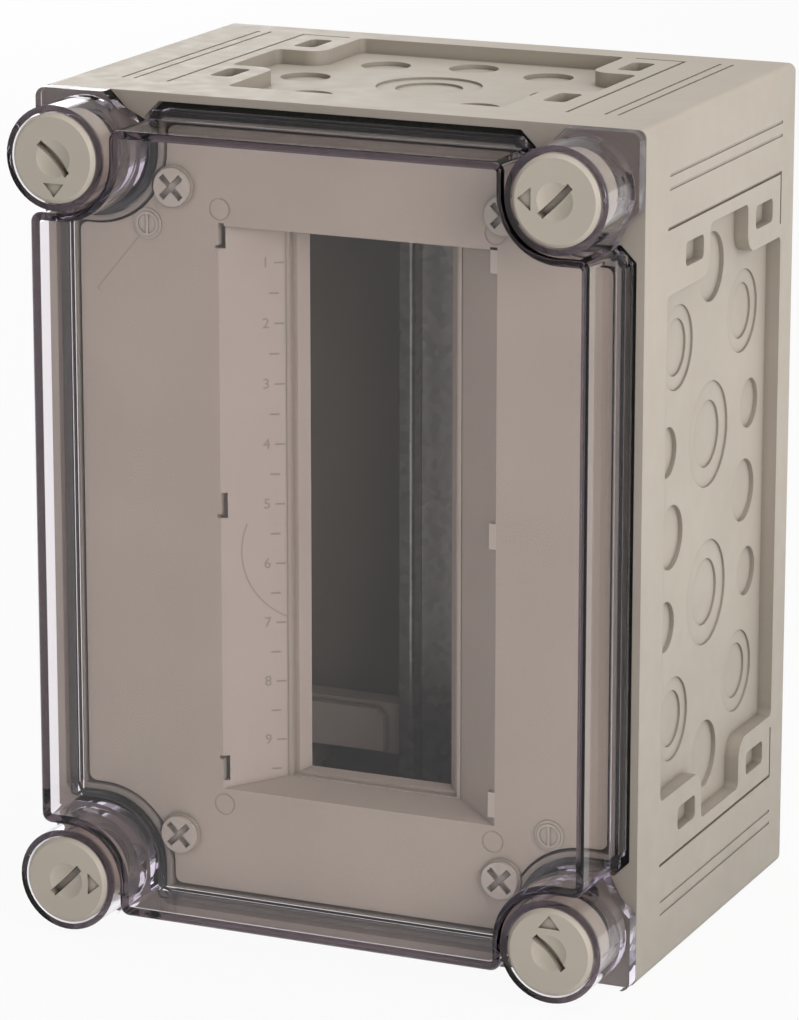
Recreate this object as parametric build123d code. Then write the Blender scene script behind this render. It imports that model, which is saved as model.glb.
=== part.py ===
from build123d import *
import math
import os

# Wall-mounted insulated enclosure for modular breakers. x runs to the right, y from the viewer to the wall, z up.
# The origin is at the middle of the outer box on its underside. While a piece is drawn, depths count from the
# front rim of the housing, positive towards the wall, and heights count from the middle of the front.

# Housing
housing_width = 187.5
housing_height = 250
housing_depth = 124
side_wall = 3
back_wall = 3
long_edge_radius = 2.4
back_edge_radius = 1.8

# Rim: outer wall, gasket groove and inner lip
rim_wall = 2.45
rim_chamfer = 4.6
groove_width = 4.5
groove_depth = 8
lip_thickness = 3.4
lip_thickness_at_locks = 1.6
shelf_thickness = 3

# Lid locks
lock_inset = 16.5
pocket_radius = 16.3
keeper_thickness = 8
keyhole_clearance = 0.6
lock_chamber_radius = 12.9
shank_radius = 6.2
lug_reach = 9.4
lug_width = 5
lug_length = 4
lug_running_gap = 0.4
shoulder_radius = 9
shoulder_length = 4
cap_radius = 13.1
cap_thickness = 4.5
cap_chamfer = 1.1
cap_proud = 1
skirt_radius = 12
dimple_radius = 5.4
dimple_depth = 1.5
slot_length = 12.6
slot_width = 2.1
slot_depth = 3.4
slot_turn = 45
arrow_offset = 9.2
arrow_length = 4
arrow_width = 6.6
arrow_depth = 0.9
seal_thickness = 2
seal_radius = 8.6
seal_groove_depth = 1.2
seal_clearance = 0.15

# Lid
lid_projection = 25
lid_wall = 2.5
lid_side_inset = 7.4
lid_notch_radius = 16.4
lid_corner_radius = 3
lid_front_radius = 1.6
lid_inner_radius = 0.8
lid_seat_gap = 0.2
ledge_thickness = 2
ledge_clearance = 2.5
tongue_thickness = 1.7
tongue_clearance = 0.3
tongue_depth = 4
flange_thickness = 5
flange_straight = 22
flange_corner_radius = 3
flange_notch = 5
lock_tube_radius = 15.4
lock_tube_wall = 1.8
lock_floor_thickness = 3
lock_floor_depth = 5
lock_floor_clearance = 0.3

# Gasket
gasket_clearance = 0.15

# Cover plate and its funnel
plate_depth = 1
plate_thickness = 2.2
plate_gap = 0.9
plate_notch_gap = 0.8
plate_corner_radius = 2.5
plate_skirt_depth = 7
plate_skirt_thickness = 1.8
recess_width = 87.2
recess_margin = 7.9
recess_shift = 5.7
recess_shift_up = 2.65
bead_width = 53
bead_margin = 3.1
bead_shift_up = 3.95
bead_depth = 10.8
bead_thickness = 1.1
window_width = 45
module_width = 18
window_end_space = 42
window_shift = 6.7
window_shift_up = 4.3
window_depth = 15
funnel_thickness = 2.1
funnel_edge = 1.8
hook_length = 7.6
hook_width = 1.8
hook_return = 1.1
hook_overrun = 3.1
hook_depth = 4.5
mark_radius = 3.4
mark_width = 0.5
mark_depth = 0.2
mark_offset = 4.8

# Cover plate fasteners
plate_screw_side_inset = 41.95
plate_screw_end_inset = 27
plate_screw_head_radius = 5.6
plate_screw_flange_radius = 6.2
plate_screw_relief = 0.5
plate_screw_flange = 0.9
plate_screw_head = 1.6
plate_screw_shank_radius = 2.4
plate_screw_length = 14
plate_screw_clearance = 0.3
cross_length = 9
cross_width = 1.9
cross_depth = 1.6
cross_turn = 45
pillar_wall = 2.6
stud_insets = {"top_left": (33.25, 38.6), "bottom_right": (27.25, 42.2)}
stud_radius = 4.5
stud_core_radius = 3.6
stud_height = 0.8
stud_stem_radius = 2.6
stud_stem_clearance = 0.2
stud_recess_radius = 2.9
stud_slot_width = 0.8

# Mounting rail on its two crossbars
rail_width = 35
rail_height = 7.5
rail_thickness = 1
rail_inner_width = 25
rail_bend_radius = 0.8
rail_end_inset = 23
rail_face_depth = 67.5
rail_hole_clearance = 0.3
crossbar_end_inset = 43
crossbar_height = 16
crossbar_thickness = 8
crossbar_side_gap = 5
crossbar_shoulder_gap = 6.9
crossbar_shoulder_screw_gap = 4.25
crossbar_shoulder_height = 3.5
crossbar_step = 2.6
crossbar_shoulder_chamfer = 2.8
crossbar_screw_inset = 9
bar_screw_head_radius = 3.6
bar_screw_head = 2.2
bar_screw_shank_radius = 1.9
bar_screw_length = 12
bar_screw_clearance = 0.2
bar_cross_length = 4.4
bar_cross_width = 1
bar_cross_depth = 1

# Wall fixing holes, one under each lock
fixing_hole_radius = 3.25

# Knockout fields, one sunk into each side wall, with two blocks left standing at each of its ends
field_front = 18
field_length = 94
field_sink = 4.4
field_margin = 35.5
field_floor = 3
field_corner_radius = 2
block_width = 15
near_block_length = 34
far_block_length = 28.5
block_corner_radius = 6
pocket_length = 14.3
pocket_width = 7
pocket_depth = 3.2
pocket_corner_radius = 1.6
pocket_end_inset = 5.5
near_pocket_inset = 21.5
far_pocket_inset = 14.6
knockout_depth = 1.3
large_knockout = (15.8, 10)
medium_knockout = (12.5, 8.4)
small_knockout = 7.5
middle_knockout = 9.5
bridge_knockout = 10.3
medium_end_inset = 34
bridge_end_inset = 15.5
wide_end_inset = 18

# Fine lines beside the fields: a frame line round the blocks and two score lines
frame_line_offset = 4.4
frame_line_width = 0.9
frame_line_depth = 0.8
frame_line_return = 16
score_line_width = 0.8
score_line_depth = 0.3
score_line_inset = 19.8
score_line_pitch = 3.9
score_line_front = 19
score_line_length = 93

# Cutters reach this far past the face that they open
overcut = 1

rail_web_depth = rail_face_depth + rail_height - rail_thickness
crossbar_depth = rail_face_depth + rail_height
inner_depth = housing_depth - back_wall
lock_x = housing_width / 2 - lock_inset
lock_z = housing_height / 2 - lock_inset
plate_screw_x = housing_width / 2 - plate_screw_side_inset
plate_screw_z = housing_height / 2 - plate_screw_end_inset
field_depth = field_sink + knockout_depth + field_floor
crossbar_half = housing_width / 2 - field_depth - crossbar_side_gap
crossbar_screw_x = crossbar_half - crossbar_screw_inset
crossbar_shoulder_end = crossbar_screw_x - bar_screw_head_radius - crossbar_shoulder_screw_gap
crossbar_z = housing_height / 2 - crossbar_end_inset
module_count = int((housing_height - 2 * window_end_space) / module_width)
window_height = module_width * module_count
corners = {"top_left": (-1, 1), "top_right": (1, 1), "bottom_left": (-1, -1), "bottom_right": (1, -1)}
lock_turns = {"top_left": -90, "top_right": 180, "bottom_left": 0, "bottom_right": 90}


def front(depth):
    """Plane facing the viewer: x to the right, y up."""
    return Plane(origin=(0, depth, 0), x_dir=(1, 0, 0), z_dir=(0, -1, 0))


def slab(outline, near, far):
    """The outline as a solid between two depths."""
    return extrude(front(far) * outline, amount=far - near, dir=(0, -1, 0))


def notched(half_width, half_height, notch_radius, chamfer_size=0, fillet_size=0):
    """Rectangle whose corners give way to the locks by notches that are round about the lock axes."""
    outline = Rectangle(2 * half_width, 2 * half_height)
    for side, end in corners.values():
        inner = (lock_x - notch_radius, lock_z - notch_radius)
        reach = lock_inset + notch_radius + overcut
        square = Rectangle(reach, reach, align=(Align.MIN, Align.MIN))
        square = fillet(square.vertices().sort_by(Axis.X)[:2].sort_by(Axis.Y)[:1], notch_radius)
        square = Pos(*inner) * square
        if side < 0:
            square = mirror(square, Plane.YZ)
        if end < 0:
            square = mirror(square, Plane.XZ)
        outline -= square
    tips = outline.vertices().filter_by(
        lambda v: abs(abs(v.X) - half_width) < 0.01 or abs(abs(v.Y) - half_height) < 0.01
    )
    if chamfer_size > 0:
        outline = chamfer(tips, chamfer_size)
    if fillet_size > 0:
        outline = fillet(tips, fillet_size)
    return outline


def inset_chamfer(distance):
    """Corner chamfer of a contour that lies a distance inside the outer one."""
    return max(rim_chamfer - distance * (2 - math.sqrt(2)), 0)


def cross_recess(length, width, near, depth):
    """Cutter for a cross recess that starts at a depth."""
    return slab(Rectangle(length, width) + Rectangle(width, length), near - overcut, near + depth)


# Contours of the rim, from the outside in
groove_outer_x = housing_width / 2 - rim_wall
groove_outer_z = housing_height / 2 - rim_wall
groove_inner_x = groove_outer_x - groove_width
groove_inner_z = groove_outer_z - groove_width
lip_inner_x = groove_inner_x - lip_thickness
lip_inner_z = groove_inner_z - lip_thickness
lip_notch_radius = pocket_radius + groove_width + lip_thickness_at_locks


# Knockout fields, drawn for the wall at +x
def field_plane(depth):
    """Plane at a depth below the outer face, x towards the back from the middle of the field, y along the field."""
    middle = field_front + field_length / 2
    return Plane(origin=(-depth, middle, 0), x_dir=(0, 1, 0), z_dir=(1, 0, 0))


def field_pad(half_length):
    """Wall behind one field, which keeps its thickness where the field is sunk."""
    section = Rectangle(field_length + 2 * side_wall, 2 * (half_length + side_wall))
    return extrude(field_plane(0) * section, amount=-field_depth)


def field_outline(half_length):
    """The sunk floor of a field: a rectangle that leaves two blocks standing at each end."""
    outline = Rectangle(field_length, 2 * half_length)
    block_edge = half_length - block_width
    for end in (-1, 1):
        for side, length in ((-1, near_block_length), (1, far_block_length)):
            block = Rectangle(2 * length, 2 * block_width)
            outline -= Pos(side * field_length / 2, end * half_length) * block
    corners = outline.vertices()
    block_corners = corners.filter_by(
        lambda v: abs(abs(v.Y) - block_edge) < 0.01 and abs(v.X) < field_length / 2 - 0.01
    )
    outline = fillet(block_corners, block_corner_radius)
    inner_corners = outline.vertices().filter_by(
        lambda v: abs(abs(v.Y) - half_length) < 0.01 or abs(abs(v.X) - field_length / 2) < 0.01
    )
    return fillet(inner_corners, field_corner_radius)


def field_cut(half_length, rings, discs):
    """All that is sunk into one side wall."""
    cut = extrude(field_plane(-overcut) * field_outline(half_length), amount=-overcut - field_sink)
    pocket = RectangleRounded(pocket_length, pocket_width, pocket_corner_radius)
    frame = Rectangle(field_length, frame_line_width)
    frame += Pos((field_length - frame_line_width) / 2, (frame_line_width - frame_line_return) / 2) * Rectangle(
        frame_line_width, frame_line_return
    )
    score = Rectangle(score_line_length, score_line_width)
    for end in (-1, 1):
        for along in (near_pocket_inset - field_length / 2, field_length / 2 - far_pocket_inset):
            at = Pos(along, end * (half_length - pocket_end_inset))
            cut += extrude(field_plane(-overcut) * at * pocket, amount=-overcut - pocket_depth)
        line = Pos(0, half_length + frame_line_offset) * frame
        if end < 0:
            line = mirror(line, Plane.XZ)
        cut += extrude(field_plane(-overcut) * line, amount=-overcut - frame_line_depth)
        along = score_line_front + score_line_length / 2 - field_front - field_length / 2
        for step in (0, 1):
            across = half_length + field_margin - score_line_inset + step * score_line_pitch
            line = Pos(along, end * across) * score
            cut += extrude(field_plane(-overcut) * line, amount=-overcut - score_line_depth)
    for (outer, inner), spots in rings:
        for at in mirrored(spots):
            cut += extrude(field_plane(field_sink) * at * Circle(outer), amount=-knockout_depth / 2)
            cut += extrude(field_plane(field_sink) * at * Circle(inner), amount=-knockout_depth)
    for radius, spots in discs:
        for at in mirrored(spots):
            cut += extrude(field_plane(field_sink) * at * Circle(radius), amount=-knockout_depth)
    return cut


def mirrored(spots):
    """Each spot, a distance along and across from the middle of the field, on every side of that middle."""
    return [Pos(a, b) for along, across in spots for a in {along, -along} for b in {across, -across}]


tall_half = housing_height / 2 - field_margin
wide_half = housing_width / 2 - field_margin
tall_rings = [(large_knockout, [(0, 24)]), (medium_knockout, [(27, tall_half - medium_end_inset)])]
tall_discs = [
    (small_knockout, [(34, 26)]),
    (middle_knockout, [(30, 0)]),
    (bridge_knockout, [(0, tall_half - bridge_end_inset)]),
]
wide_rings = [(large_knockout, [(0, 0)])]
wide_discs = [(small_knockout, [(28, 26.5), (33.5, 0), (0, wide_half - wide_end_inset)])]
tall_cut = Pos(housing_width / 2, 0, 0) * field_cut(tall_half, tall_rings, tall_discs)
wide_cut = Rot(0, -90, 0) * Pos(housing_height / 2, 0, 0) * field_cut(wide_half, wide_rings, wide_discs)
tall_pad = Pos(housing_width / 2, 0, 0) * field_pad(tall_half)
wide_pad = Rot(0, -90, 0) * Pos(housing_height / 2, 0, 0) * field_pad(wide_half)

# Housing: tub with a grooved rim, a hollow column under each lock, pads behind the fields and screw pillars
outer = slab(Rectangle(housing_width, housing_height), 0, housing_depth)
outer = fillet(outer.edges().filter_by(Axis.Y), long_edge_radius)
outer = fillet(outer.faces().sort_by(Axis.Y)[-1].edges(), back_edge_radius)
cavity = slab(
    notched(housing_width / 2 - side_wall, housing_height / 2 - side_wall, pocket_radius),
    groove_depth + shelf_thickness,
    inner_depth,
)
for pad in (tall_pad, mirror(tall_pad, Plane.YZ), wide_pad, mirror(wide_pad, Plane.XY)):
    cavity -= pad
pillar_radius = plate_screw_shank_radius + plate_screw_clearance + pillar_wall
bar_pillar_radius = bar_screw_shank_radius + bar_screw_clearance + pillar_wall
for side, end in corners.values():
    at = Pos(side * plate_screw_x, end * plate_screw_z)
    cavity -= slab(at * Circle(pillar_radius), plate_depth + plate_thickness, inner_depth)
    at = Pos(side * crossbar_screw_x, end * crossbar_z)
    cavity -= slab(at * Circle(bar_pillar_radius), crossbar_depth + crossbar_thickness, inner_depth)
housing = outer - cavity
mouth = slab(notched(lip_inner_x, lip_inner_z, lip_notch_radius), 0, groove_depth + shelf_thickness)
for side, end in corners.values():
    at = Pos(side * plate_screw_x, end * plate_screw_z)
    mouth -= slab(at * Circle(pillar_radius), plate_depth + plate_thickness, groove_depth + shelf_thickness)
    mouth += slab(at * Circle(plate_screw_flange_radius + plate_screw_relief), 0, plate_depth)
groove_outer = notched(groove_outer_x, groove_outer_z, pocket_radius, rim_chamfer)
groove_inner = notched(
    groove_inner_x, groove_inner_z, pocket_radius + groove_width, inset_chamfer(groove_width)
)
housing -= mouth
housing -= slab(groove_outer - groove_inner, 0, groove_depth)
housing -= tall_cut
housing -= mirror(tall_cut, Plane.YZ)
housing -= wide_cut
housing -= mirror(wide_cut, Plane.XY)
keyhole = Circle(shank_radius + keyhole_clearance)
keyhole += Rectangle(2 * (lug_reach + keyhole_clearance), lug_width + 2 * keyhole_clearance)
for name, (side, end) in corners.items():
    at = Pos(side * lock_x, end * lock_z)
    housing -= slab(at * Circle(lock_chamber_radius), keeper_thickness, inner_depth)
    housing -= slab(at * Rot(0, 0, lock_turns[name]) * keyhole, 0, keeper_thickness)
    housing -= slab(at * Circle(fixing_hole_radius), inner_depth, housing_depth)
    bore = Circle(plate_screw_shank_radius + plate_screw_clearance)
    at = Pos(side * plate_screw_x, end * plate_screw_z)
    housing -= slab(at * bore, plate_depth + plate_thickness, plate_depth + plate_screw_length + plate_screw_clearance)
    bore = Circle(bar_screw_shank_radius + bar_screw_clearance)
    at = Pos(side * crossbar_screw_x, end * crossbar_z)
    bar_back = crossbar_depth + crossbar_thickness
    housing -= slab(at * bore, bar_back, crossbar_depth + bar_screw_length + bar_screw_clearance)

# Lid: window box, ledge with its sealing tongue, corner flanges and lock tubes
lid_x = housing_width / 2 - lid_side_inset
lid_z = housing_height / 2 - lid_side_inset
lid_front = 1 - lid_projection
lid_outline = notched(lid_x, lid_z, lid_notch_radius, fillet_size=lid_corner_radius)
lid_hollow = notched(lid_x - lid_wall, lid_z - lid_wall, lid_notch_radius + lid_wall, fillet_size=lid_inner_radius)
ledge_x = groove_outer_x - ledge_clearance
ledge_z = groove_outer_z - ledge_clearance
ledge_outline = notched(ledge_x, ledge_z, pocket_radius + ledge_clearance, fillet_size=lid_inner_radius)
tongue_x = groove_inner_x + tongue_clearance
tongue_z = groove_inner_z + tongue_clearance
tongue_radius = pocket_radius + groove_width - tongue_clearance
tongue = notched(
    tongue_x + tongue_thickness,
    tongue_z + tongue_thickness,
    tongue_radius - tongue_thickness,
    inset_chamfer(groove_width - tongue_clearance - tongue_thickness),
) - notched(tongue_x, tongue_z, tongue_radius, inset_chamfer(groove_width - tongue_clearance))
lid = slab(lid_outline, lid_front, -lid_seat_gap)
lid = fillet(lid.faces().sort_by(Axis.Y)[0].edges(), lid_front_radius)
lid += slab(ledge_outline, -ledge_thickness, -lid_seat_gap)
flange_end_x = housing_width / 2 - flange_straight
flange_end_z = housing_height / 2 - flange_straight
lid_wall_middle = lock_x - lid_notch_radius - lid_wall / 2
lid_wall_middle_up = lock_z - lid_notch_radius - lid_wall / 2
flange = Polygon(
    (lid_wall_middle, lid_wall_middle_up),
    (lid_wall_middle, lid_z - lid_wall / 2),
    (flange_end_x - flange_notch, housing_height / 2 - flange_notch),
    (flange_end_x, housing_height / 2),
    (housing_width / 2, housing_height / 2),
    (housing_width / 2, flange_end_z),
    (housing_width / 2 - flange_notch, flange_end_z - flange_notch),
    (lid_x - lid_wall / 2, lid_wall_middle_up),
    align=None,
)
flange = fillet(flange.vertices().sort_by_distance((housing_width, housing_height, 0))[0], flange_corner_radius)
flange_solid = slab(flange, -flange_thickness, -lid_seat_gap)
lock_tube_front = -lid_projection
tube = slab(Pos(lock_x, lock_z) * Circle(lock_tube_radius), lock_tube_front, -flange_thickness)
for side, end in corners.values():
    corner = flange_solid + tube
    if side < 0:
        corner = mirror(corner, Plane.YZ)
    if end < 0:
        corner = mirror(corner, Plane.XY)
    lid += corner
lid -= slab(lid_hollow, lid_front + lid_wall, 0)
lid += slab(tongue, -ledge_thickness, tongue_depth)
lock_floor_front = -lock_floor_depth - lock_floor_thickness
for side, end in corners.values():
    at = Pos(side * lock_x, end * lock_z)
    lid -= slab(at * Circle(lock_tube_radius - lock_tube_wall), lock_tube_front, lock_floor_front)
    lid -= slab(at * Circle(shank_radius + keyhole_clearance), lock_floor_front, -lock_floor_depth)
    lid -= slab(at * Circle(lug_reach + keyhole_clearance), -lock_floor_depth, 0)

# Sealing ring in the groove
gasket_outer = notched(
    groove_outer_x - gasket_clearance,
    groove_outer_z - gasket_clearance,
    pocket_radius + gasket_clearance,
    inset_chamfer(gasket_clearance),
)
gasket_inner = notched(
    groove_inner_x + gasket_clearance,
    groove_inner_z + gasket_clearance,
    pocket_radius + groove_width - gasket_clearance,
    inset_chamfer(groove_width - gasket_clearance),
)
gasket = slab(gasket_outer - gasket_inner, tongue_depth + lid_seat_gap, groove_depth)

# Quarter-turn lock, drawn with its arrow to the right and its lugs along the arrow
cap_front = lock_tube_front - cap_proud
shoulder_back = lock_floor_front - lock_floor_clearance
skirt_back = shoulder_back - shoulder_length
lug_front = keeper_thickness + lug_running_gap
cap = slab(Circle(cap_radius), cap_front, cap_front + cap_thickness)
cap = chamfer(cap.faces().sort_by(Axis.Y)[0].edges(), cap_chamfer)
sphere_radius = (dimple_radius**2 + dimple_depth**2) / (2 * dimple_depth)
cap -= Pos(0, cap_front - sphere_radius + dimple_depth, 0) * Sphere(sphere_radius)
cap -= slab(Rot(0, 0, slot_turn) * Rectangle(slot_length, slot_width), cap_front - overcut, cap_front + slot_depth)
arrow = Polygon((arrow_length / 2, 0), (-arrow_length / 2, arrow_width / 2), (-arrow_length / 2, -arrow_width / 2), align=None)
cap -= slab(Pos(arrow_offset, 0) * arrow, cap_front - overcut, cap_front + arrow_depth)
lock = cap + slab(Circle(skirt_radius), cap_front + cap_thickness, skirt_back)
lock += slab(Circle(shoulder_radius), skirt_back, shoulder_back)
lock += slab(Circle(shank_radius), shoulder_back, lug_front + lug_length)
lugs = Rectangle(2 * lug_reach, lug_width) & Circle(lug_reach)
lock += slab(lugs, lug_front, lug_front + lug_length)
seal_front = seal_clearance - lock_floor_depth
seal_groove = Circle(shank_radius) - Circle(shank_radius - seal_groove_depth)
lock -= slab(seal_groove, seal_front - seal_clearance, seal_front + seal_thickness + seal_clearance)
seal_inner = shank_radius - seal_groove_depth + seal_clearance
seal = slab(Circle(seal_radius) - Circle(seal_inner), seal_front, seal_front + seal_thickness)

# Cover plate: notched like the rim, with a skirt and a funnel that steps down to the breaker window
plate_x = lip_inner_x - plate_gap
plate_z = lip_inner_z - plate_gap
plate_notch = lip_notch_radius + plate_notch_gap
plate_back = plate_depth + plate_thickness
plate_outline = notched(plate_x, plate_z, plate_notch, fillet_size=plate_corner_radius)
plate = slab(plate_outline, plate_depth, plate_depth + plate_skirt_depth)
plate -= slab(
    notched(plate_x - plate_skirt_thickness, plate_z - plate_skirt_thickness, plate_notch + plate_skirt_thickness),
    plate_back,
    plate_depth + plate_skirt_depth,
)


def opening(width, height, across, up, depth, grow=0):
    """Rectangle round the breaker window at a depth."""
    return front(depth) * Pos(across, up) * Rectangle(width + 2 * grow, height + 2 * grow)


recess_height = window_height + recess_margin
mouth_sizes = (recess_width, recess_height, recess_shift, recess_shift_up)
bead_sizes = (bead_width, window_height + bead_margin, window_shift, bead_shift_up)
window_sizes = (window_width, window_height, window_shift, window_shift_up)
bead_at = plate_depth + bead_depth
window_at = plate_depth + window_depth
plate += loft([opening(*mouth_sizes, plate_back), opening(*bead_sizes, bead_at + funnel_thickness, funnel_edge)])
plate += loft([opening(*bead_sizes, bead_at, funnel_edge), opening(*window_sizes, window_at, funnel_edge)])
plate -= loft([opening(*mouth_sizes, plate_depth), opening(*bead_sizes, bead_at)])
bead_outer = opening(*bead_sizes, bead_at + bead_thickness, bead_thickness)
plate += extrude(bead_outer, amount=2 * bead_thickness)
plate -= extrude(opening(*bead_sizes, bead_at + bead_thickness), amount=2 * bead_thickness)
plate -= loft([opening(*bead_sizes, bead_at, -bead_thickness / 2), opening(*window_sizes, window_at)])
for step in (-1, 0, 1):
    hook_z = window_shift_up + step * (window_height / 2 + hook_overrun - hook_length / 2)
    return_z = (hook_length - hook_return) / 2 * (1 if step < 0 else -1)
    hook = Pos(hook_width / 2, 0) * Rectangle(hook_width, hook_length)
    hook += Pos(0, return_z) * Rectangle(2 * hook_return, hook_return)
    plate -= slab(Pos(recess_shift - recess_width / 2, hook_z) * hook, plate_depth, plate_depth + hook_depth)
for side, end in corners.values():
    across = recess_shift + side * (recess_width / 2 - mark_width)
    up = recess_shift_up + end * (recess_height / 2 + mark_offset)
    mark = Circle(mark_radius) - Circle(mark_radius - mark_width)
    plate -= slab(Pos(across, up) * mark, plate_depth, plate_depth + mark_depth)
for side, end in corners.values():
    at = Pos(side * plate_screw_x, end * plate_screw_z)
    plate -= slab(at * Circle(plate_screw_shank_radius + plate_screw_clearance), plate_depth, plate_back)
    plate -= slab(at * Circle(pillar_radius + plate_screw_relief), plate_back, plate_depth + plate_skirt_depth)
stud_places = {}
for name, (side_inset, end_inset) in stud_insets.items():
    side, end = corners[name]
    stud_places[name] = (side * (housing_width / 2 - side_inset), end * (housing_height / 2 - end_inset))
for across, up in stud_places.values():
    plate -= slab(Pos(across, up) * Circle(stud_stem_radius + stud_stem_clearance), plate_depth, plate_back)

# Plate screw and sealing stud, drawn on the axis
head_front = plate_depth - plate_screw_flange - plate_screw_head
plate_screw = slab(Circle(plate_screw_flange_radius), plate_depth - plate_screw_flange, plate_depth)
plate_screw += slab(Circle(plate_screw_head_radius), head_front, plate_depth - plate_screw_flange)
plate_screw += slab(Circle(plate_screw_shank_radius), plate_depth, plate_depth + plate_screw_length)
plate_screw -= Rot(0, cross_turn, 0) * cross_recess(cross_length, cross_width, head_front, cross_depth)
stud = slab(Circle(stud_radius), plate_depth - stud_height / 2, plate_depth)
stud += slab(Circle(stud_core_radius), plate_depth - stud_height, plate_depth)
stud += slab(Circle(stud_stem_radius), plate_depth, plate_back)
stud_recess = Circle(stud_recess_radius) - Rectangle(stud_slot_width, 2 * stud_recess_radius)
stud -= slab(stud_recess, plate_depth - stud_height - overcut, plate_depth - stud_height / 2)

# Top-hat rail, drawn in section and run upright
half_rail = rail_width / 2
rail_tip = half_rail - rail_thickness / 2
half_web = rail_inner_width / 2 + rail_thickness
rail_line = Polyline(
    (window_shift - rail_tip, rail_face_depth + rail_thickness / 2),
    (window_shift - half_web + rail_thickness / 2, rail_face_depth + rail_thickness / 2),
    (window_shift - half_web + rail_thickness / 2, crossbar_depth - rail_thickness / 2),
    (window_shift + half_web - rail_thickness / 2, crossbar_depth - rail_thickness / 2),
    (window_shift + half_web - rail_thickness / 2, rail_face_depth + rail_thickness / 2),
    (window_shift + rail_tip, rail_face_depth + rail_thickness / 2),
)
rail_line = fillet(rail_line.vertices().sort_by(Axis.X)[1:-1], rail_bend_radius)
rail_section = make_face(offset(rail_line, amount=rail_thickness / 2, kind=Kind.INTERSECTION, side=Side.BOTH))
rail = extrude(rail_section, amount=housing_height / 2 - rail_end_inset, both=True)
for end in (-1, 1):
    hole = Pos(window_shift, end * crossbar_z) * Circle(bar_screw_shank_radius + rail_hole_clearance)
    rail -= slab(hole, rail_web_depth, crossbar_depth)

# Crossbar, drawn about its own middle height: thin where the rail lies, raised beside it
bar_back = crossbar_depth + crossbar_thickness
crossbar = slab(Rectangle(2 * crossbar_half, crossbar_height), crossbar_depth, bar_back)
shoulder_top = (crossbar_height - crossbar_step) / 2
for side in (-1, 1):
    inner = window_shift + side * (half_rail + crossbar_shoulder_gap)
    outer_end = side * crossbar_shoulder_end
    shoulder = Polygon(
        (outer_end, -shoulder_top),
        (outer_end, shoulder_top),
        (inner + side * crossbar_shoulder_chamfer, shoulder_top),
        (inner, shoulder_top - crossbar_shoulder_chamfer),
        (inner, -shoulder_top),
        align=None,
    )
    crossbar += slab(shoulder, crossbar_depth - crossbar_shoulder_height, crossbar_depth)
for across in (-crossbar_screw_x, window_shift, crossbar_screw_x):
    crossbar -= slab(Pos(across, 0) * Circle(bar_screw_shank_radius + bar_screw_clearance), crossbar_depth, bar_back)


def bar_screw(seat, length):
    """Small pan-head screw whose head lies on a face at the given depth."""
    screw = slab(Circle(bar_screw_head_radius), seat - bar_screw_head, seat)
    screw += slab(Circle(bar_screw_shank_radius), seat, seat + length)
    return screw - cross_recess(bar_cross_length, bar_cross_width, seat - bar_screw_head, bar_cross_depth)


rail_screw = bar_screw(rail_web_depth, crossbar_thickness)
crossbar_screw = bar_screw(crossbar_depth, bar_screw_length)

# Every piece in place
pieces = {"housing": housing, "lid": lid, "lid_gasket": gasket, "cover_plate": plate, "din_rail": rail}
for name, (side, end) in corners.items():
    at = Pos(side * lock_x, 0, end * lock_z) * Rot(0, -lock_turns[name], 0)
    pieces["lock_bolt_" + name] = at * lock
    pieces["lock_seal_" + name] = at * seal
    pieces["plate_screw_" + name] = Pos(side * plate_screw_x, 0, end * plate_screw_z) * plate_screw
    pieces["crossbar_screw_" + name] = Pos(side * crossbar_screw_x, 0, end * crossbar_z) * crossbar_screw
for name, (across, up) in stud_places.items():
    pieces["sealing_stud_" + name] = Pos(across, 0, up) * stud
for name, end in (("top", 1), ("bottom", -1)):
    pieces["crossbar_" + name] = Pos(0, 0, end * crossbar_z) * crossbar
    pieces["rail_screw_" + name] = Pos(window_shift, 0, end * crossbar_z) * rail_screw

overall_depth = housing_depth - cap_front
place = Pos(0, -(overall_depth / 2 + cap_front), housing_height / 2)
os.makedirs("parts", exist_ok=True)
for name, piece in pieces.items():
    export_step(place * piece, "parts/" + name + ".step")
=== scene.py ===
import bpy
import bmesh
import math
from mathutils import Matrix, Vector


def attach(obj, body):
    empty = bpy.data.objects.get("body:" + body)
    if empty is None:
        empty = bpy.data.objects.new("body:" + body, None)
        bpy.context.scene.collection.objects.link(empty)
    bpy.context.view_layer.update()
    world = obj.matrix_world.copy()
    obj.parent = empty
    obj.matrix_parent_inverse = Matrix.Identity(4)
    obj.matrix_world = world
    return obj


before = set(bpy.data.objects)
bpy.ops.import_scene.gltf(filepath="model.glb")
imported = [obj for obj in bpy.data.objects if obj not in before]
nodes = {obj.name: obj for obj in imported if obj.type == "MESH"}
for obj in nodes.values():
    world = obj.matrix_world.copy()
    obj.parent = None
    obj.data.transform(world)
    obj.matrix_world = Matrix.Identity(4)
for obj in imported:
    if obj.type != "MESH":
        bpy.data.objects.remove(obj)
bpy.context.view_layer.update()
scene = bpy.context.scene

# Materials
# How far the painted shade in slots, and deep in the box, looks for walls that close a spot in
SLOT_REACH = 0.0022
BOX_REACH = 0.15


def new_material(name):
    """A material with one Principled shader, and short ways to its nodes."""
    mat = bpy.data.materials.new(name)
    mat.use_nodes = True
    tree = mat.node_tree
    shader = tree.nodes["Principled BSDF"]
    return mat, tree, shader


def noise(tree, scale, detail, roughness=0.5, stretch=None):
    """Noise in the object's own metres, which may be stretched along the axes."""
    coords = tree.nodes.new("ShaderNodeTexCoord")
    node = tree.nodes.new("ShaderNodeTexNoise")
    node.inputs["Scale"].default_value = scale
    node.inputs["Detail"].default_value = detail
    node.inputs["Roughness"].default_value = roughness
    if stretch:
        mapping = tree.nodes.new("ShaderNodeMapping")
        mapping.inputs["Scale"].default_value = stretch
        tree.links.new(coords.outputs["Object"], mapping.inputs["Vector"])
        tree.links.new(mapping.outputs["Vector"], node.inputs["Vector"])
    else:
        tree.links.new(coords.outputs["Object"], node.inputs["Vector"])
    return node


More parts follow.
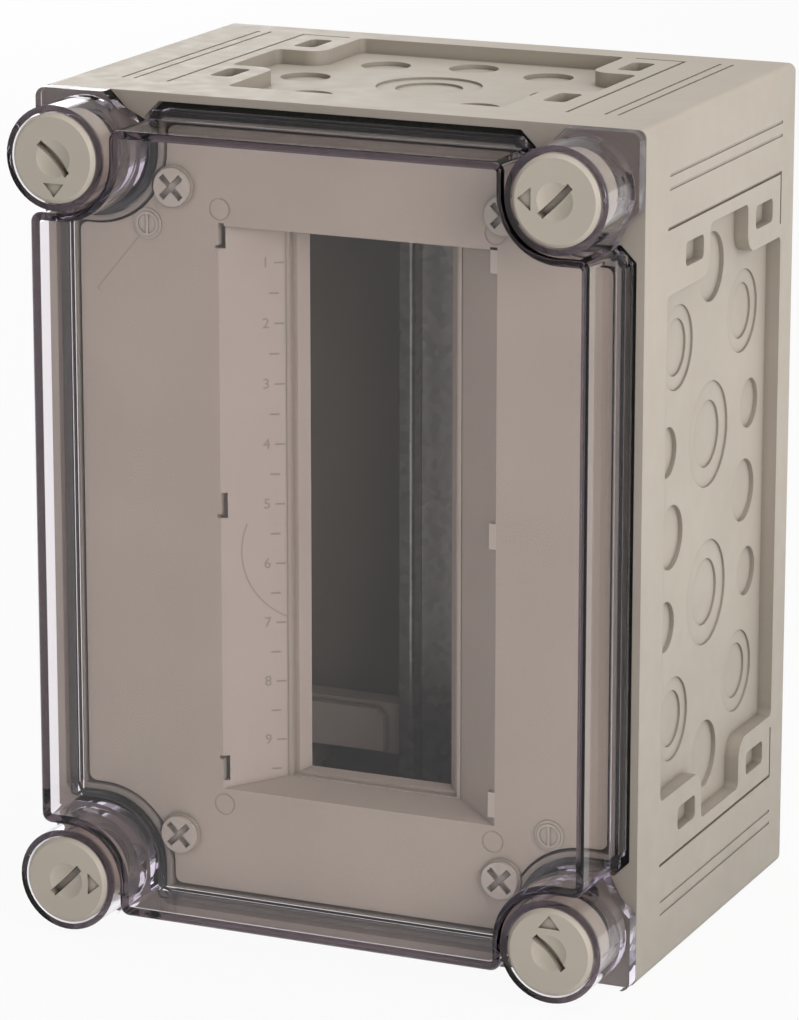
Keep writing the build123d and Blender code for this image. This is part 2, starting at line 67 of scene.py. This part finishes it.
def ramp(tree, source, stops):
    """Colour ramp over a noise."""
    node = tree.nodes.new("ShaderNodeValToRGB")
    elements = node.color_ramp.elements
    while len(elements) < len(stops):
        elements.new(0.5)
    for element, (at, colour) in zip(elements, stops):
        element.position = at
        element.color = (*colour, 1)
    tree.links.new(source, node.inputs["Fac"])
    return node


def span(tree, source, low, high):
    """Noise spread to run from low to high."""
    node = tree.nodes.new("ShaderNodeMapRange")
    node.inputs["From Min"].default_value = 0.3
    node.inputs["From Max"].default_value = 0.7
    node.inputs["To Min"].default_value = low
    node.inputs["To Max"].default_value = high
    tree.links.new(source, node.inputs["Value"])
    return node


def shade(colour, factor):
    return tuple(channel * factor for channel in colour)


def paint_shade_in_hollows(tree, colour, reach, closed, open_air, shade_least):
    """The colour with shade painted into it, darkened down to a given share of it where walls within
    reach close a spot in.
    """
    hollow = tree.nodes.new("ShaderNodeAmbientOcclusion")
    hollow.samples = 1
    hollow.inputs["Distance"].default_value = reach
    depth = tree.nodes.new("ShaderNodeMapRange")
    depth.inputs["From Min"].default_value = closed
    depth.inputs["From Max"].default_value = open_air
    depth.inputs["To Min"].default_value = shade_least
    tree.links.new(hollow.outputs["AO"], depth.inputs["Value"])
    mixed = tree.nodes.new("ShaderNodeVectorMath")
    mixed.operation = "SCALE"
    tree.links.new(colour, mixed.inputs[0])
    tree.links.new(depth.outputs["Result"], mixed.inputs["Scale"])
    return mixed.outputs["Vector"]


def moulded(name, colour, roughness, grain, edge, shade_least, box_shade_least=1):
    """Moulded plastic: spark-eroded grain, faint flow clouds and softly rounded edges.

    Shade is painted into the colour: the first share is what is left of it in slots, the second what is
    left of it deep in the box.
    """
    mat, tree, shader = new_material(name)
    clouds = noise(tree, 22, 1)
    tint = ramp(tree, clouds.outputs["Fac"], [(0.3, shade(colour, 0.96)), (0.7, shade(colour, 1.03))])
    # Painted shade in slots, creases and recesses
    colour_with_painted_shade = paint_shade_in_hollows(tree, tint.outputs["Color"], SLOT_REACH, 0.25, 0.85, shade_least)
    if box_shade_least < 1:
        # Painted shade deep in the box
        colour_with_painted_shade = paint_shade_in_hollows(tree, colour_with_painted_shade, BOX_REACH, 0.05, 0.4, box_shade_least)
    tree.links.new(colour_with_painted_shade, shader.inputs["Base Color"])
    fine = noise(tree, 1500, 1, 0.6)
    rough = span(tree, noise(tree, 160, 1).outputs["Fac"], roughness - 0.06, roughness + 0.07)
    tree.links.new(rough.outputs["Result"], shader.inputs["Roughness"])
    bump = tree.nodes.new("ShaderNodeBump")
    bump.inputs["Strength"].default_value = grain
    bump.inputs["Distance"].default_value = 0.0002
    tree.links.new(fine.outputs["Fac"], bump.inputs["Height"])
    if edge:
        bevel = tree.nodes.new("ShaderNodeBevel")
        bevel.samples = 2
        bevel.inputs["Radius"].default_value = edge
        tree.links.new(bevel.outputs["Normal"], bump.inputs["Normal"])
    tree.links.new(bump.outputs["Normal"], shader.inputs["Normal"])
    shader.inputs["IOR"].default_value = 1.49
    return mat


def clear_plastic(name):
    """Clear polycarbonate with a lilac cast, which lets lamps through to what it covers."""
    mat, tree, shader = new_material(name)
    clouds = noise(tree, 60, 1)
    tint = ramp(tree, clouds.outputs["Fac"], [(0.3, (0.977, 0.967, 0.963)), (0.7, (0.983, 0.973, 0.967))])
    tree.links.new(tint.outputs["Color"], shader.inputs["Base Color"])
    shader.inputs["Roughness"].default_value = 0
    shader.inputs["Transmission Weight"].default_value = 1
    shader.inputs["IOR"].default_value = 1.33
    open_shader = tree.nodes.new("ShaderNodeBsdfTransparent")
    open_shader.inputs["Color"].default_value = (0.93, 0.91, 0.9, 1)
    path = tree.nodes.new("ShaderNodeLightPath")
    mix = tree.nodes.new("ShaderNodeMixShader")
    output = tree.nodes["Material Output"]
    tree.links.new(path.outputs["Is Shadow Ray"], mix.inputs["Fac"])
    tree.links.new(shader.outputs["BSDF"], mix.inputs[1])
    tree.links.new(open_shader.outputs["BSDF"], mix.inputs[2])
    tree.links.new(mix.outputs["Shader"], output.inputs["Surface"])
    body = tree.nodes.new("ShaderNodeVolumeAbsorption")
    body.inputs["Color"].default_value = (0.8, 0.64, 0.97, 1)
    body.inputs["Density"].default_value = 24
    tree.links.new(body.outputs["Volume"], output.inputs["Volume"])
    return mat


def foam(name):
    """Dark sealing foam with an open skin."""
    mat, tree, shader = new_material(name)
    cells = noise(tree, 900, 3, 0.7)
    tint = ramp(tree, cells.outputs["Fac"], [(0.35, (0.012, 0.014, 0.011)), (0.7, (0.032, 0.034, 0.028))])
    tree.links.new(tint.outputs["Color"], shader.inputs["Base Color"])
    bump = tree.nodes.new("ShaderNodeBump")
    bump.inputs["Strength"].default_value = 0.5
    bump.inputs["Distance"].default_value = 0.0003
    tree.links.new(cells.outputs["Fac"], bump.inputs["Height"])
    tree.links.new(bump.outputs["Normal"], shader.inputs["Normal"])
    shader.inputs["Roughness"].default_value = 0.85
    return mat


def galvanised(name):
    """Zinc-coated steel with spangle and fine rolling lines along the rail."""
    mat, tree, shader = new_material(name)
    coords = tree.nodes.new("ShaderNodeTexCoord")
    spangle = tree.nodes.new("ShaderNodeTexVoronoi")
    spangle.inputs["Scale"].default_value = 420
    tree.links.new(coords.outputs["Object"], spangle.inputs["Vector"])
    tint = ramp(tree, spangle.outputs["Color"], [(0.1, (0.3, 0.286, 0.263)), (0.9, (0.39, 0.37, 0.34))])
    tree.links.new(tint.outputs["Color"], shader.inputs["Base Color"])
    lines = noise(tree, 240, 4, 0.6, (6, 6, 0.25))
    rough = span(tree, lines.outputs["Fac"], 0.3, 0.46)
    tree.links.new(rough.outputs["Result"], shader.inputs["Roughness"])
    bump = tree.nodes.new("ShaderNodeBump")
    bump.inputs["Strength"].default_value = 0.12
    bump.inputs["Distance"].default_value = 0.0002
    tree.links.new(lines.outputs["Fac"], bump.inputs["Height"])
    tree.links.new(bump.outputs["Normal"], shader.inputs["Normal"])
    shader.inputs["Metallic"].default_value = 0.75
    return mat


BEIGE = (0.56, 0.495, 0.415)
# Every moulded plastic has shade painted into its slots; the housing's also has shade painted deep in the
# box
housing_plastic = moulded("housing_plastic", BEIGE, 0.5, 0.12, 0.0004, 0.6, 0.5)
# The plate's colour is the housing beige darkened to paint the shade it lies in under the lid, and made a
# little pinker
plate_plastic = moulded("plate_plastic", (0.42, 0.358, 0.298), 0.48, 0.03, 0, 0.5)
fitting_plastic = moulded("fitting_plastic", shade(BEIGE, 0.84), 0.45, 0.03, 0.0002, 0.12)
lock_plastic = moulded("lock_plastic", shade(BEIGE, 1.1), 0.42, 0.04, 0.0002, 0.12)
mark_plastic = moulded("mark_plastic", shade(BEIGE, 0.46), 0.5, 0.03, 0, 0.9)
# The scores' darker colour is painted shade of a groove
score_groove_shade = moulded("score_groove_shade", shade(BEIGE, 0.52), 0.5, 0.03, 0, 0.9)
lid_plastic = clear_plastic("lid_plastic")
gasket_foam = foam("gasket_foam")
zinc = galvanised("zinc")

dress = {
    "housing": housing_plastic,
    "cover_plate": plate_plastic,
    "lid": lid_plastic,
    "lid_gasket": gasket_foam,
    "din_rail": zinc,
    "crossbar": fitting_plastic,
    "plate_screw": fitting_plastic,
    "sealing_stud": fitting_plastic,
    "lock_bolt": lock_plastic,
    "lock_seal": gasket_foam,
    "rail_screw": zinc,
    "crossbar_screw": zinc,
}
for name, obj in nodes.items():
    key = max((k for k in dress if name.startswith(k)), key=len)
    obj.data.materials.clear()
    obj.data.materials.append(dress[key])

# Marks and tabs of the cover plate, set out in millimetres from the middle of the plate's flat face


def ends(node, axis):
    """Both ends of a CAD node along an axis."""
    places = [(nodes[node].matrix_world @ Vector(corner))[axis] for corner in nodes[node].bound_box]
    return min(places), max(places)


rim_y = ends("housing", 1)[0]
plate_y = ends("cover_plate", 1)[0]
middle_z = sum(ends("housing", 2)) / 2
MOUTH_LEFT = -37.9
MOUTH_RIGHT = 49.3
BEAD_LEFT = -19.8
SLOPE_FALL = 10.8
WINDOW_MIDDLE = 4.3
MODULE = 18
MODULES = 9
RELIEF = 0.12
LINE_RISE = RELIEF / 3


def on_plate(across, up, out):
    """Point of the plate's flat face, raised by out."""
    return Vector((across / 1000, plate_y - out / 1000, middle_z + up / 1000))


slope_run = BEAD_LEFT - MOUTH_LEFT
slope_length = math.hypot(slope_run, SLOPE_FALL)


def on_slope(along, up, out):
    """Point of the funnel's left slope, measured inwards from its outer edge, raised by out."""
    across = MOUTH_LEFT + (along * slope_run + out * SLOPE_FALL) / slope_length
    depth = (along * SLOPE_FALL - out * slope_run) / slope_length
    return Vector((across / 1000, plate_y + depth / 1000, middle_z + up / 1000))


def add_prism(mesh, outline, surface, low, high):
    """Closed prism over an outline, given anticlockwise on a surface."""
    rings = [[mesh.verts.new(surface(*point, out)) for point in outline] for out in (low, high)]
    mesh.faces.new(list(reversed(rings[0])))
    mesh.faces.new(rings[1])
    for index in range(len(outline)):
        after = (index + 1) % len(outline)
        mesh.faces.new((rings[0][index], rings[0][after], rings[1][after], rings[1][index]))


def add_piece(name, mesh, material):
    """Object of its own that moves with the housing."""
    data = bpy.data.meshes.new(name)
    mesh.to_mesh(data)
    mesh.free()
    data.materials.append(material)
    obj = bpy.data.objects.new(name, data)
    scene.collection.objects.link(obj)
    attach(obj, "housing")


def add_line(mesh, points, width, surface):
    """Narrow raised line through the points of a surface."""
    for (x0, y0), (x1, y1) in zip(points, points[1:]):
        length = math.hypot(x1 - x0, y1 - y0)
        side = (-(y1 - y0) / length * width / 2, (x1 - x0) / length * width / 2)
        outline = [
            (x0 - side[0], y0 - side[1]),
            (x1 - side[0], y1 - side[1]),
            (x1 + side[0], y1 + side[1]),
            (x0 + side[0], y0 + side[1]),
        ]
        add_prism(mesh, outline, surface, -RELIEF, LINE_RISE)


def digit_mesh(digit, height):
    """Mesh of a numeral about its middle, in millimetres."""
    text = bpy.data.curves.new("digit", "FONT")
    text.body = digit
    text.size = height * 1.4
    text.resolution_u = 3
    text.align_x = "CENTER"
    text.align_y = "CENTER"
    text.extrude = RELIEF / 2
    glyph = bpy.data.objects.new("digit", text)
    scene.collection.objects.link(glyph)
    graph = bpy.context.evaluated_depsgraph_get()
    shape = bpy.data.meshes.new_from_object(glyph.evaluated_get(graph))
    bpy.data.objects.remove(glyph)
    bpy.data.curves.remove(text)
    return shape


# Module scale: a number beside each module, a mark with it and one further out between two modules
DIGIT_HEIGHT = 3.1
DIGIT_MIDDLE = 13.6
MARK_WIDTH = 0.5
MARK_LENGTH = 2.8
MODULE_MARK = 16.1
HALF_MARK = 14.6
scale = bmesh.new()
for module in range(MODULES):
    up = WINDOW_MIDDLE + ((MODULES - 1) / 2 - module) * MODULE
    for start, at in ((MODULE_MARK, up), (HALF_MARK, up - MODULE / 2)):
        add_line(scale, [(start, at), (start + MARK_LENGTH, at)], MARK_WIDTH, on_slope)
    shape = digit_mesh(str(module + 1), DIGIT_HEIGHT)
    first = len(scale.verts)
    scale.from_mesh(shape)
    bpy.data.meshes.remove(shape)
    scale.verts.ensure_lookup_table()
    for vert in scale.verts[first:]:
        vert.co = on_slope(DIGIT_MIDDLE + vert.co.x, up + vert.co.y, vert.co.z)
add_piece("module_scale", scale, mark_plastic)

# Scored arc on the slope and scored line on the plate, as raised lines whose darker colour paints the
# shade of a scored groove
ARC_CENTRE = (27.7, -9.9)
ARC_RADIUS = 21.7
ARC_START = 157
ARC_STEP = 5
ARC_POINTS = 19
ARC_WIDTH = 0.4
PLATE_LINE = ((-63.5, 82.3), (-77.2, 66), (-76.2, 65.2))
PLATE_LINE_WIDTH = 0.3
scores = bmesh.new()
arc = []
for step in range(ARC_POINTS):
    turn = math.radians(ARC_START + step * ARC_STEP)
    arc.append((ARC_CENTRE[0] + ARC_RADIUS * math.cos(turn), ARC_CENTRE[1] + ARC_RADIUS * math.sin(turn)))
add_line(scores, arc, ARC_WIDTH, on_slope)
add_line(scores, PLATE_LINE, PLATE_LINE_WIDTH, on_plate)
add_piece("plate_scores", scores, score_groove_shade)

# Tabs in the funnel's right edge, level with the hooks of its left edge
TAB_PITCH = 80.3
TAB_WIDTH = 2.2
TAB_HALF = 3.8
TAB_THICKNESS = 2
tabs = bmesh.new()
inner = MOUTH_RIGHT - TAB_WIDTH
for step in (-1, 0, 1):
    low = WINDOW_MIDDLE + step * TAB_PITCH - TAB_HALF
    high = WINDOW_MIDDLE + step * TAB_PITCH + TAB_HALF
    outline = [(inner, low), (MOUTH_RIGHT, low), (MOUTH_RIGHT, high), (inner, high)]
    add_prism(tabs, outline, on_plate, -TAB_THICKNESS, 0)
add_piece("funnel_tabs", tabs, fitting_plastic)

# Floor, world and lamps
FLOOR_HALF = 9
corners = [(x * FLOOR_HALF, y * FLOOR_HALF, 0) for x, y in ((-1, -1), (1, -1), (1, 1), (-1, 1))]
floor_mesh = bpy.data.meshes.new("floor")
floor_mesh.from_pydata(corners, [], [(0, 1, 2, 3)])
floor = bpy.data.objects.new("floor", floor_mesh)
scene.collection.objects.link(floor)
floor_mat, tree, shader = new_material("floor_paper")
shader.inputs["Base Color"].default_value = (0.7, 0.7, 0.7, 1)
shader.inputs["Roughness"].default_value = 0.9
glow = tree.nodes.new("ShaderNodeEmission")
path = tree.nodes.new("ShaderNodeLightPath")
seen = tree.nodes.new("ShaderNodeMath")
seen.operation = "MAXIMUM"
tree.links.new(path.outputs["Is Camera Ray"], seen.inputs[0])
tree.links.new(path.outputs["Is Transmission Ray"], seen.inputs[1])
seen_or_mirrored = tree.nodes.new("ShaderNodeMath")
seen_or_mirrored.operation = "MAXIMUM"
tree.links.new(seen.outputs[0], seen_or_mirrored.inputs[0])
tree.links.new(path.outputs["Is Glossy Ray"], seen_or_mirrored.inputs[1])
share = tree.nodes.new("ShaderNodeMath")
share.operation = "MULTIPLY"
share.inputs[1].default_value = 0.93
tree.links.new(seen_or_mirrored.outputs[0], share.inputs[0])
mix = tree.nodes.new("ShaderNodeMixShader")
tree.links.new(share.outputs[0], mix.inputs["Fac"])
tree.links.new(shader.outputs["BSDF"], mix.inputs[1])
tree.links.new(glow.outputs["Emission"], mix.inputs[2])
tree.links.new(mix.outputs["Shader"], tree.nodes["Material Output"].inputs["Surface"])
floor.data.materials.append(floor_mat)

world = bpy.data.worlds.new("studio")
scene.world = world
world.use_nodes = True
tree = world.node_tree
background = tree.nodes["Background"]
background.inputs["Color"].default_value = (1, 1, 1, 1)
background.inputs["Strength"].default_value = 0.3


def lamp(name, place, target, size, power):
    """Soft square lamp that looks at a point."""
    data = bpy.data.lights.new(name, "AREA")
    data.shape = "RECTANGLE"
    data.size, data.size_y = size
    data.energy = power
    obj = bpy.data.objects.new(name, data)
    obj.location = place
    obj.rotation_euler = (Vector(target) - Vector(place)).to_track_quat("-Z", "Y").to_euler()
    scene.collection.objects.link(obj)


middle = (0, 0, middle_z)
lamp("front", (1.3, -1.15, 0.6), middle, (0.8, 0.8), 9.2)
lamp("side", (1.7, -0.2, 0.7), middle, (0.9, 1.2), 8.6)
lamp("top", (0.1, 0.2, 1.6), middle, (1.2, 1.0), 9)
lamp("rear", (-1.2, 1.5, 0.6), middle, (1.0, 1.0), 7.5)

# Camera at the photograph's viewing angle
YAW = math.radians(24.0)
PITCH = math.radians(14.72)
forward = Vector((-math.sin(YAW) * math.cos(PITCH), math.cos(YAW) * math.cos(PITCH), -math.sin(PITCH)))
right = Vector((math.cos(YAW), math.sin(YAW), 0))
up = right.cross(forward)
CAMERA_DISTANCE = 1.413
CAMERA_RIGHT = 0.01767
CAMERA_UP = 0.00685
front_middle = Vector((0, rim_y, middle_z))
camera_data = bpy.data.cameras.new("camera")
camera_data.sensor_fit = "AUTO"
camera_data.sensor_width = 36
camera_data.lens = 172.5
camera_data.clip_start = 0.05
camera = bpy.data.objects.new("camera", camera_data)
camera.location = front_middle - forward * CAMERA_DISTANCE + right * CAMERA_RIGHT + up * CAMERA_UP
camera.rotation_euler = Matrix((right, up, -forward)).transposed().to_euler()
scene.collection.objects.link(camera)
scene.camera = camera

scene.view_settings.view_transform = "Standard"
